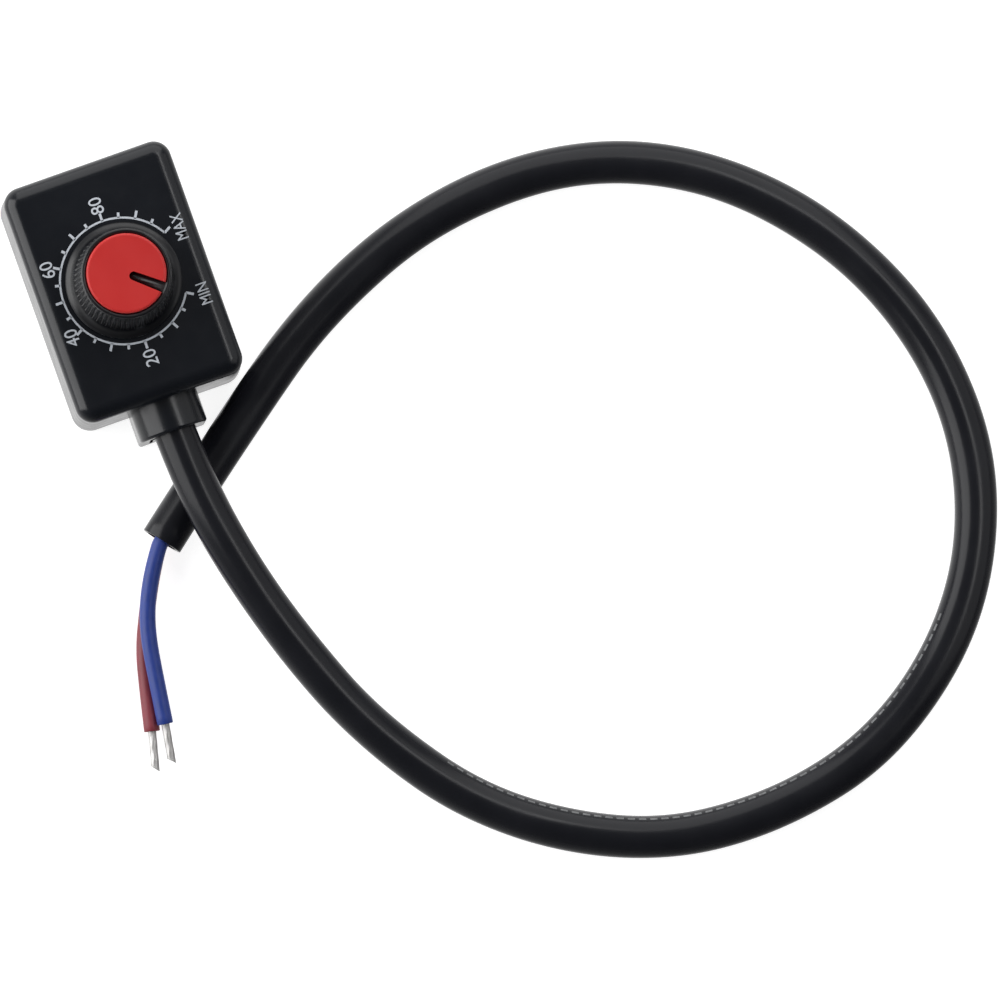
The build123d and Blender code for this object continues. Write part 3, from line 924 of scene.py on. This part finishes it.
@dataclass
class Knob:
    """Fluted knob with its coloured cap. Its skirt flares wider and lower than the solid's."""

    body: str = "knob_body"
    cap: str = "knob_cap"
    top: float = 31.9 * MM
    rim_radius: float = 5.85 * MM
    wall: float = 0.45 * MM
    tolerance: float = 0.001 * MM
    solid: Flare = Flare(
        edge=(7.6 * MM, 18.3 * MM), foot_radius=6.9 * MM, edge_tilt=45.0, foot_tilt=-12.5)
    solid_foot: float = 20.7 * MM
    seen: Flare = Flare(
        edge=(7.6 * MM, 18.3 * MM), foot_radius=6.3 * MM, edge_tilt=66.0, foot_tilt=2.5)

    def build(self) -> bpy.types.Object:
        """Shape and dress the knob, and dress its cap.

        Returns:
            The knob.
        """
        mesh = bmesh.new()
        mesh.from_mesh(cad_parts[self.body].data)
        bmesh.ops.remove_doubles(mesh, verts=mesh.verts, dist=self.tolerance)
        for vertex in mesh.verts:
            self.flare(vertex)
        piece = make_piece("knob_moulding", mesh, KNOB_BLACK, Body.KNOB)
        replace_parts(piece, self.body)
        dress((self.cap,), CAP_RED)
        return piece

    def flare(self, vertex: bmesh.types.BMVert) -> None:
        """Move a point of the skirt or cone from the solid's outline to the one that is seen.

        Args:
            vertex: the point; one of the bore, the recess or the underside stays in place.
        """
        out, height = vertex.co.xy.length, vertex.co.z
        up = (height - self.solid_foot) / (self.top - self.solid_foot)
        cone = self.solid.foot_radius + up * (self.rim_radius - self.solid.foot_radius)
        inner = min(cone, self.solid.foot_radius) - self.wall
        if height <= self.solid.edge[1] + self.tolerance or out < inner:
            return
        if up <= 0.0:
            new_out, new_height = self.seen.place(*self.solid.share(out, height))
        else:
            new_out = out + (self.seen.foot_radius - self.solid.foot_radius) * (1.0 - up)
            new_height = self.seen_foot + up * (self.top - self.seen_foot)
        vertex.co.xy *= new_out / out
        vertex.co.z = new_height

    @property
    def seen_foot(self) -> float:
        """Height at which the seen curve meets the cone."""
        return self.seen.place(1.0, 0.0)[1]


@dataclass
class Potentiometer:
    """Control inside the box and the leads soldered to it."""

    finishes: tuple[tuple[Finish, tuple[str, ...]], ...] = (
        (NICKEL, ("pot_bushing", "pot_nut", "pot_lugs", "pot_wiper")),
        (STEEL, ("pot_washer", "pot_case", "shaft_clip")),
        (SHAFT_ALLOY, ("pot_shaft",)),
        (BOARD, ("pot_wafer",)),
        (ROTOR, ("pot_rotor",)),
        (TINNED, ("lead_conductors",)),
        (SOLDER, ("solder_joints",)),
        (CORE_BLUE, ("lead_blue",)),
        (CORE_RED, ("lead_red",)))

    def build(self) -> None:
        """Dress the parts of the control."""
        for finish, names in self.finishes:
            dress(names, finish)


@dataclass
class Cord:
    """Round sheathed cord from the collar, over its own tail, round a loop to the cut end.

    Its exit and the points of its route are in millimetres.
    """

    radius: float = 2.8 * MM
    sides: int = 40
    steps: int = 20
    twist_height: float = 0.018 * MM
    exit_point: Point = (0.0, -20.4, 8.9)
    rim: float = 0.62 * MM
    cut: CutEnd = CutEnd(
        rim=((0.05 * MM, 0.03 * MM), (0.09 * MM, 0.12 * MM)),
        bore=((0.09 * MM, -0.04 * MM), (0.04 * MM, 0.0), (-0.7 * MM, 0.05 * MM)))
    points: list[Point] = field(default_factory=lambda: [
        (0.0, -13.0, 8.9), (0.0, -23.0, 8.9), (1.2, -35.5, 9.0), (5.0, -50.0, 7.0),
        (11.2, -65.5, 4.4), (22.5, -81.0, 2.9), (40.0, -91.5, 2.8), (57.5, -93.5, 2.8),
        (75.0, -89.5, 2.8), (90.5, -77.0, 2.8), (98.5, -59.5, 2.8), (98.0, -41.0, 2.8),
        (90.5, -24.0, 2.8), (77.5, -10.5, 2.8), (61.0, -3.5, 2.8), (41.5, -4.0, 2.8),
        (23.5, -11.0, 2.8), (8.0, -22.0, 2.8), (-6.0, -33.0, 2.8)])

    def build(self, with_pieces: list[bpy.types.Object]) -> bpy.types.Object:
        """Args:
            with_pieces: cores and stripped ends at its far end; not used.

        Returns:
            The sheath.
        """
        line = Route(self.points, self.steps).line()
        skin = Tube(line, self.radius, self.sides, self.twist_height)
        mesh = bmesh.new()
        skin.draw(mesh)
        skin.close(mesh, self.cut.steps(self.radius, self.radius - self.rim))
        skin.close_flat(mesh, at_start=True)
        bmesh.ops.recalc_face_normals(mesh, faces=mesh.faces)
        skin.unwrap(mesh)
        piece = make_piece("cord_sheath", mesh, SHEATH_BLACK, Body.HOUSING)
        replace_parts(piece, "cord_jacket")
        length = skin.travel()[-1]
        log.info("cord: %.1f mm", length / MM)
        return piece


@dataclass
class Core:
    """One insulated core with its stripped, twisted and tinned end.

    The points of its route are in millimetres, and the lean of its tip is in degrees.
    """

    name: str
    finish: Finish
    slot: Slot
    points: list[Point]
    tip_lean: float
    radius: float = 1.05 * MM
    sides: int = 28
    steps: int = 12
    cut: CutEnd = CutEnd(
        rim=((0.05 * MM, 0.04 * MM), (0.08 * MM, 0.14 * MM)),
        bore=((0.06 * MM, -0.05 * MM), (-0.3 * MM, 0.0)))
    strip_length: float = 5.4 * MM
    conductor_radius: float = 0.55 * MM
    conductor_slack: float = 0.03 * MM
    strand_count: int = 7
    strand_turns: float = 0.4
    strand_steps: int = 26
    strand_sides: int = 10
    strand_share: float = 0.36
    tin_share: float = 0.95
    tin_steps: tuple[float, ...] = (-0.08, 0.3, 0.7, 1.0)
    sunk: float = 0.5 * MM
    cut_slant: float = 0.8 * MM
    cut_tolerance: float = 0.0001 * MM

    def build(self) -> list[bpy.types.Object]:
        """Draw the insulation and the strands.

        Returns:
            Both pieces.
        """
        line = Route(self.points, self.steps).line()
        return [self.insulation(line), self.strands(line)]

    def insulation(self, line: list[Vector]) -> bpy.types.Object:
        """Draw the insulation with its cut end.

        Args:
            line: points of the core's route.

        Returns:
            The insulation.
        """
        skin = Tube(line, self.radius, self.sides)
        mesh = bmesh.new()
        skin.draw(mesh)
        hole = self.conductor_radius + self.conductor_slack
        skin.close(mesh, self.cut.steps(self.radius, hole))
        skin.close_flat(mesh, at_start=True)
        bmesh.ops.recalc_face_normals(mesh, faces=mesh.faces)
        skin.unwrap(mesh)
        piece = make_piece(f"insulation_{self.name}", mesh, self.finish, Body.HOUSING)
        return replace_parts(piece, f"core_{self.name}")

    def strands(self, line: list[Vector]) -> bpy.types.Object:
        """Twist the strands round the straight end of the core, filled with tin.

        Args:
            line: points of the core's route.

        Returns:
            The stripped end.
        """
        root = stations(line)[-1]
        bend = Matrix.Rotation(math.radians(self.tip_lean), 4, "Z")
        stand = Matrix.Translation(root.translation) @ bend @ root.to_3x3().to_4x4()
        mesh = bmesh.new()
        strand = self.conductor_radius * self.strand_share
        lay = self.conductor_radius - strand
        for index in range(self.strand_count):
            path = []
            for step in range(self.strand_steps + 1):
                share = step / self.strand_steps
                turn = math.tau * (index / self.strand_count + self.strand_turns * share)
                path.append(stand @ Vector((lay * math.cos(turn), lay * math.sin(turn),
                                            share * (self.strip_length + self.sunk) - self.sunk)))
            self.wire(mesh, path, strand, self.strand_sides)
        middle = [stand @ Vector((0, 0, share * self.strip_length)) for share in self.tin_steps]
        self.wire(mesh, middle, self.conductor_radius * self.tin_share, self.sides)
        self.snip(mesh, stand)
        bmesh.ops.recalc_face_normals(mesh, faces=mesh.faces)
        piece = make_piece(f"strands_{self.name}", mesh, TINNED, Body.HOUSING)
        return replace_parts(piece, f"tinned_end_{self.name}")

    @staticmethod
    def wire(mesh: bmesh.types.BMesh, path: list[Vector], radius: float, sides: int) -> None:
        """Draw a solid round wire.

        Args:
            mesh: the bmesh that gets it.
            path: points along it.
            radius: its radius.
            sides: its number of sides.
        """
        skin = Tube(path, radius, sides)
        skin.draw(mesh)
        skin.close_flat(mesh)
        skin.close_flat(mesh, at_start=True)

    def snip(self, mesh: bmesh.types.BMesh, stand: Matrix) -> None:
        """Cut the stripped end off at a slant and close the cut.

        Args:
            mesh: the strands and the tin between them.
            stand: frame at the root of the stripped end, with its third axis along it.
        """
        turn = stand.to_3x3()
        side = turn.inverted() @ Vector((1, 0, 0))
        slope = self.cut_slant / (2 * self.conductor_radius) / side.xy.length
        bmesh.ops.bisect_plane(
            mesh, geom=[*mesh.verts, *mesh.edges, *mesh.faces], dist=self.cut_tolerance,
            clear_outer=True,
            plane_co=stand @ Vector((0, 0, self.strip_length - self.cut_slant / 2)),
            plane_no=turn @ Vector((-slope * side.x, -slope * side.y, 1.0)))
        cut_edges = [edge for edge in mesh.edges if edge.is_boundary]
        bmesh.ops.holes_fill(mesh, edges=cut_edges, sides=0)


@dataclass
class SoftBox:
    """Large soft lamp that stands in a direction, in degrees, from the object."""

    name: str
    azimuth: float
    elevation: float
    width: float
    height: float
    brightness: float
    distance: float = 0.9

    def build(self, middle: Vector) -> bpy.types.Object:
        """Hang the lamp and aim it.

        Args:
            middle: point that it shines on.

        Returns:
            The lamp.
        """
        turn, rise = math.radians(self.azimuth), math.radians(self.elevation)
        out = Vector((math.cos(rise) * math.cos(turn), math.cos(rise) * math.sin(turn),
                      math.sin(rise)))
        data = bpy.data.lights.new(self.name, "AREA")
        data.shape = "RECTANGLE"
        data.size = self.width
        data.size_y = self.height
        data.energy = self.brightness * math.pi * self.width * self.height
        lamp = put(self.name, data)
        lamp.location = middle + out * self.distance
        lamp.rotation_euler = out.to_track_quat("Z", "Y").to_euler()
        log.info("%s: lamp", self.name)
        return lamp


@dataclass
class Studio:
    """White table, soft lamps and the camera.

    The camera's place and the middle are in millimetres, and its turn is in degrees. The room's
    light is a list of heights, as shares from below to overhead, and brightnesses.
    """

    camera_place: Point = (-113.47, -134.38, 2505.51)
    camera_turn: Point = (3.131, -2.549, -19.627)
    lens: float = 690.0
    sensor: float = 36.0
    middle: Point = (37.0, -42.0, 5.0)
    table_reach: float = 3.0
    table_cells: int = 12
    table_level: float = -0.00005
    room: Steps = ((0.0, 0.95), (0.15, 0.75), (0.33, 0.6), (0.5, 0.36), (0.62, 0.18), (0.9, 0.1))
    bright_side: Point = (-0.423, 0.906, 0.0)
    bright_share: float = 2.0
    dark_share: float = 0.15
    lamps: tuple[SoftBox, ...] = (
        SoftBox("lamp_far", azimuth=66.0, elevation=31.0, width=1.15, height=1.05,
                brightness=1.25),
        SoftBox("lamp_left", azimuth=157.0, elevation=26.0, width=0.88, height=1.0,
                brightness=2.5),
        SoftBox("lamp_right", azimuth=-15.0, elevation=34.0, width=0.9, height=0.9,
                brightness=0.5),
        SoftBox("lamp_high", azimuth=12.0, elevation=64.0, width=0.7, height=0.16,
                brightness=3.1))

    def build(self) -> None:
        """Set up the table, the light and the camera."""
        self.table()
        self.surround()
        for lamp in self.lamps:
            lamp.build(Vector(self.middle) * MM)
        self.camera()

    def table(self) -> bpy.types.Object:
        """Lay the table top.

        Returns:
            The floor.
        """
        mesh = bmesh.new()
        bmesh.ops.create_grid(mesh, x_segments=self.table_cells, y_segments=self.table_cells,
                              size=self.table_reach)
        top = bpy.data.meshes.new("floor")
        mesh.to_mesh(top)
        mesh.free()
        top.materials.append(FLOOR_WHITE.material())
        floor = put("floor", top)
        floor.location = (0, 0, self.table_level)
        floor.visible_glossy = False
        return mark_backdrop(floor)

    def surround(self) -> None:
        """Light the room: bright towards the table, dim overhead, and more from one side."""
        world = bpy.data.worlds.new("studio")
        bpy.context.scene.world = world
        world.use_nodes = True
        nodes = Nodes(world.node_tree, "Background")
        place = nodes.add("ShaderNodeTexCoord").outputs["Generated"]
        split = nodes.add("ShaderNodeSeparateXYZ", {"Vector": place})
        height = nodes.add("ShaderNodeMapRange", {"Value": split.outputs["Z"], "From Min": LOWEST})
        ramp = nodes.add("ShaderNodeValToRGB", {"Fac": height.outputs["Result"]})
        stops = ramp.color_ramp.elements
        for index, (level, light) in enumerate(self.room):
            stop = stops[index] if index < len(stops) else stops.new(level)
            stop.position = level
            stop.color = (light, light, light, 1.0)
        side = nodes.add(
            "ShaderNodeVectorMath", {0: place, 1: self.bright_side}, operation="DOT_PRODUCT")
        share = nodes.add("ShaderNodeMapRange", {
            "Value": side.outputs["Value"], "From Min": LOWEST,
            "To Min": self.dark_share, "To Max": self.bright_share})
        nodes.feed(Input.ROOM_COLOUR, ramp.outputs["Color"])
        nodes.feed(Input.ROOM_STRENGTH, share.outputs["Result"])

    def camera(self) -> bpy.types.Object:
        """Stand the camera over the table.

        Returns:
            The camera.
        """
        data = bpy.data.cameras.new("camera")
        data.lens = self.lens
        data.sensor_width = self.sensor
        eye = put("camera", data)
        eye.location = Vector(self.camera_place) * MM
        eye.rotation_euler = tuple(math.radians(angle) for angle in self.camera_turn)
        bpy.context.scene.camera = eye
        bpy.context.scene.view_settings.view_transform = "Standard"
        return eye


def main() -> None:
    """Build the pieces in order."""
    logging.basicConfig(level=logging.INFO, format="%(message)s")
    Housing().build()
    Dial().build()
    Knob().build()
    Potentiometer().build()
    blue = Core("blue", CORE_BLUE, Slot.BLUE, [
        (-4.43, -31.77, 3.9), (-6.0, -33.0, 3.9), (-6.63, -33.49, 3.9), (-9.09, -37.16, 3.75),
        (-10.85, -40.75, 3.4), (-11.95, -44.4, 3.2), (-12.7, -49.2, 2.85),
        (-13.6, -55.65, 2.45)], tip_lean=-1.5)
    red = Core("red", CORE_RED, Slot.RED, [
        (-4.43, -31.77, 1.7), (-6.0, -33.0, 1.7), (-6.63, -33.49, 1.7), (-8.86, -37.06, 1.4),
        (-10.88, -40.96, 1.1), (-12.95, -45.4, 1.05), (-14.2, -50.2, 1.05),
        (-15.5, -55.95, 1.05)], tip_lean=-1.6)
    tails = [*blue.build(), *red.build()]
    Cord().build(tails)
    Studio().build()


if __name__ == "__main__":
    main()
